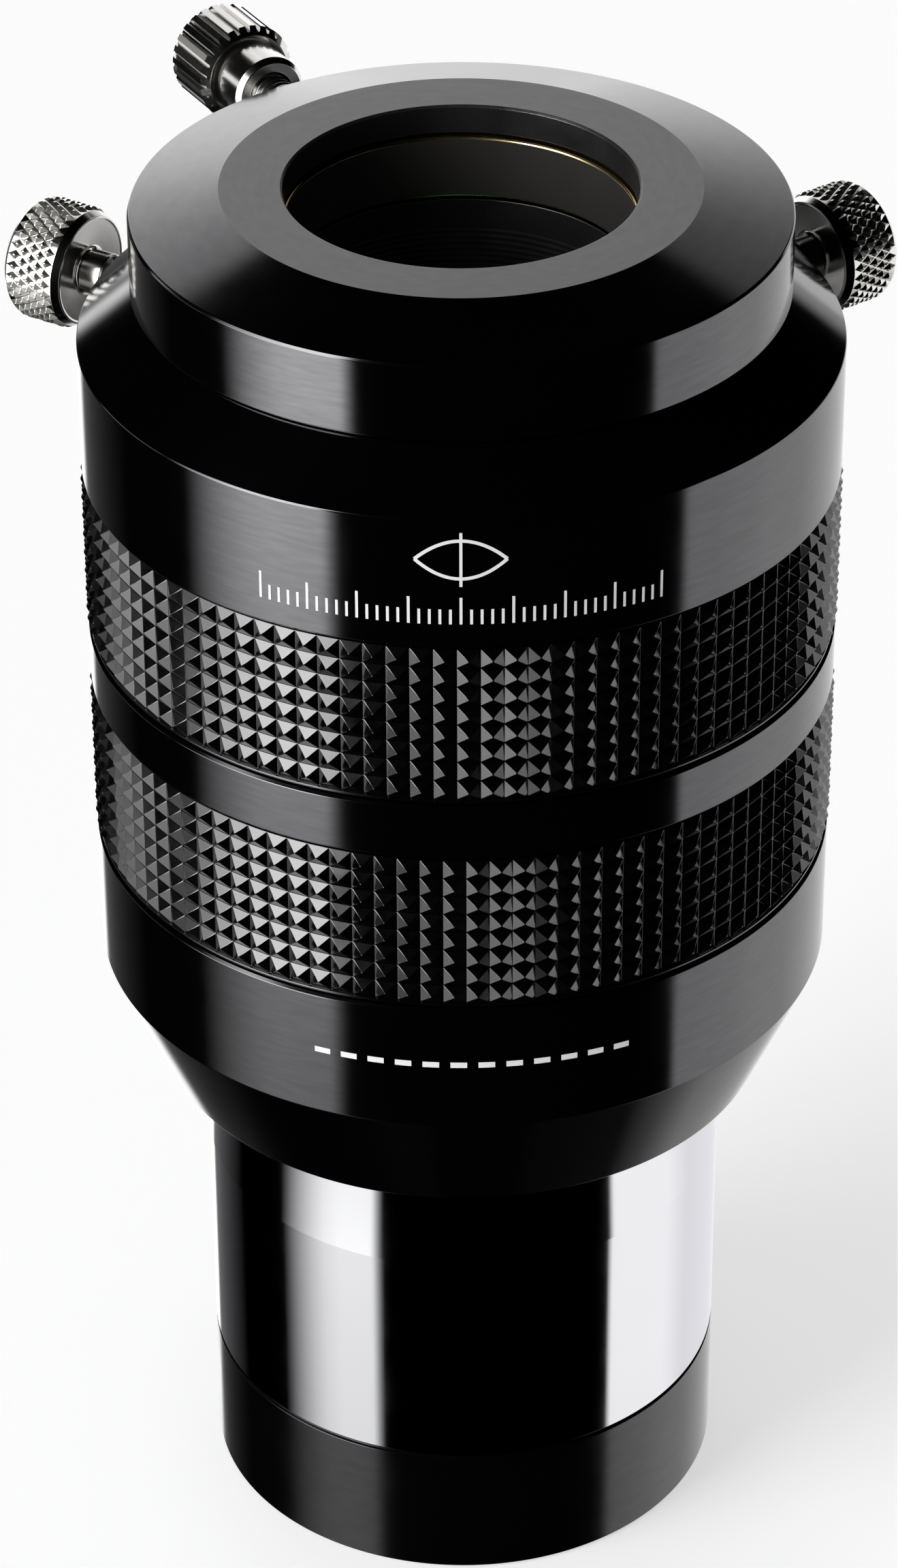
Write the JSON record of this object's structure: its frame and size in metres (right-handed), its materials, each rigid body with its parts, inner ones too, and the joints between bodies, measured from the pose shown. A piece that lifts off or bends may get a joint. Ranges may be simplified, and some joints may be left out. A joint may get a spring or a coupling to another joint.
{
  "type": "barlow lens",
  "caption": "Two-inch telecentric barlow lens with chrome nosepiece, rubber grips, a clamping eyepiece socket and a removable 1.25-inch adapter.",
  "frame": {"origin": "on the optical axis at the nosepiece's front face, the plane that it stands on", "axes": "+Z along the optical axis from the nosepiece towards the eyepiece; -Y faces the viewer, and the clamp screws point to the back left and back right"},
  "size_m": [0.0853, 0.0793, 0.1414],
  "materials": {
    "gloss_black": "glossy black anodised, fine turning lines",
    "satin_black": "satin black anodised",
    "matte_black": "matte black anodised, anti-reflection",
    "chrome": "polished chrome plate",
    "grip_rubber": "moulded pyramid grip, semi-gloss",
    "brass": "turned brass",
    "nickel": "bright nickel plate, knurled",
    "steel": "threaded steel",
    "coated_glass": "multi-coated optical glass"
  },
  "bodies": {
    "housing": {"nose_ring": "satin_black", "negative_retaining_ring": "matte_black", "negative_lens_front": "coated_glass", "negative_lens_rear": "coated_glass", "chrome_barrel": "chrome", "front_baffle": "matte_black", "shoulder_housing": "gloss_black", "main_housing": "gloss_black", "lower_grip_ring": "grip_rubber", "upper_grip_ring": "grip_rubber", "rear_baffle": "matte_black", "positive_cell": "matte_black", "positive_lens_front": "coated_glass", "positive_lens_rear": "coated_glass", "positive_retaining_ring": "matte_black", "socket_collar": "gloss_black", "socket_liner": "gloss_black"},
    "socket_ring": {"socket_compression_ring": "brass"},
    "adapter": {"adapter_cap": "gloss_black", "adapter_sleeve": "gloss_black", "adapter_compression_ring": "brass"},
    "left_stud": {"left_screw_stud": "steel"},
    "left_knob": {"left_screw_head": "nickel"},
    "right_stud": {"right_screw_stud": "steel"},
    "right_knob": {"right_screw_head": "nickel"},
    "adapter_stud": {"adapter_screw_stud": "steel"},
    "adapter_knob": {"adapter_screw_head": "nickel"}
  },
  "joints": [
    {"name": "adapter_turn", "type": "hinge", "parent": "housing", "child": "socket_ring", "pos_m": [0, 0, 0.1215], "axis": [0, 0, 1], "continuous": true},
    {"name": "adapter_lift", "type": "slide", "parent": "socket_ring", "child": "adapter", "axis": [0, 0, 1], "range_m": [0, 0.0305]},
    {"name": "left_screw_travel", "type": "slide", "parent": "housing", "child": "left_stud", "axis": [-0.8508, 0.5255, 0], "range_m": [0, 0.0056]},
    {"name": "left_screw_turn", "type": "hinge", "parent": "left_stud", "child": "left_knob", "pos_m": [-0.03539, 0.02186, 0.1214], "axis": [-0.8508, 0.5255, 0], "range_deg": [0, 2880]},
    {"name": "right_screw_travel", "type": "slide", "parent": "housing", "child": "right_stud", "axis": [0.8028, 0.5962, 0], "range_m": [0, 0.0056]},
    {"name": "right_screw_turn", "type": "hinge", "parent": "right_stud", "child": "right_knob", "pos_m": [0.0334, 0.0248, 0.1214], "axis": [0.8028, 0.5962, 0], "range_deg": [0, 2880]},
    {"name": "adapter_screw_travel", "type": "slide", "parent": "adapter", "child": "adapter_stud", "axis": [-0.4955, 0.8686, 0], "range_m": [0, 0.0056]},
    {"name": "adapter_screw_turn", "type": "hinge", "parent": "adapter_stud", "child": "adapter_knob", "pos_m": [-0.02051, 0.03596, 0.135], "axis": [-0.4955, 0.8686, 0], "range_deg": [0, 2880]}
  ],
  "couplings": [
    {"joint": "left_screw_travel", "follows": "left_screw_turn", "m_per_rad": 0.00011141},
    {"joint": "right_screw_travel", "follows": "right_screw_turn", "m_per_rad": 0.00011141},
    {"joint": "adapter_screw_travel", "follows": "adapter_screw_turn", "m_per_rad": 0.00011141}
  ]
}
